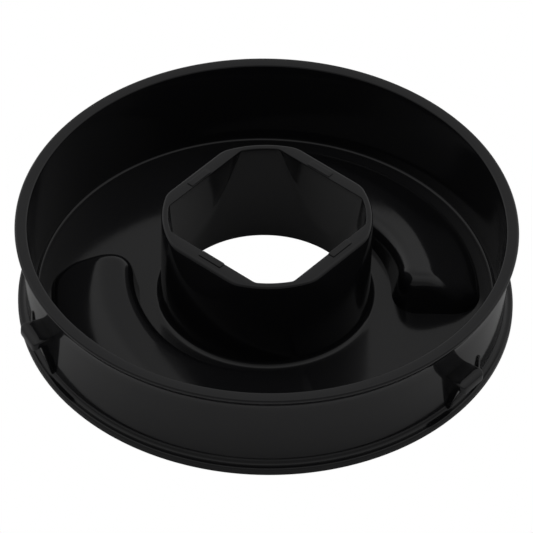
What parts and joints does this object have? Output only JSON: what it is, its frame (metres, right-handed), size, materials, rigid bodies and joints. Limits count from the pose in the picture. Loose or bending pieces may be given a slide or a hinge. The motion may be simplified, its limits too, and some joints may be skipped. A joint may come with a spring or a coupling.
{
  "type": "blender lid plug",
  "caption": "Shallow round cup with a turned-out lip, an open flat-sided hub in the middle, curved floor ramps and locking lugs on its wall.",
  "frame": {"origin": "on the axis of the hub, in the plane that the foot of the plug rests on", "axes": "+Z along the axis of the hub, towards the lip; +X through the middle of the flat of the hub that faces the first lug"},
  "size_m": [0.0926, 0.09, 0.0212],
  "materials": {
    "plastic": "glossy black, moulded"
  },
  "bodies": {
    "root": {"lid_plug": "plastic"}
  },
  "joints": []
}
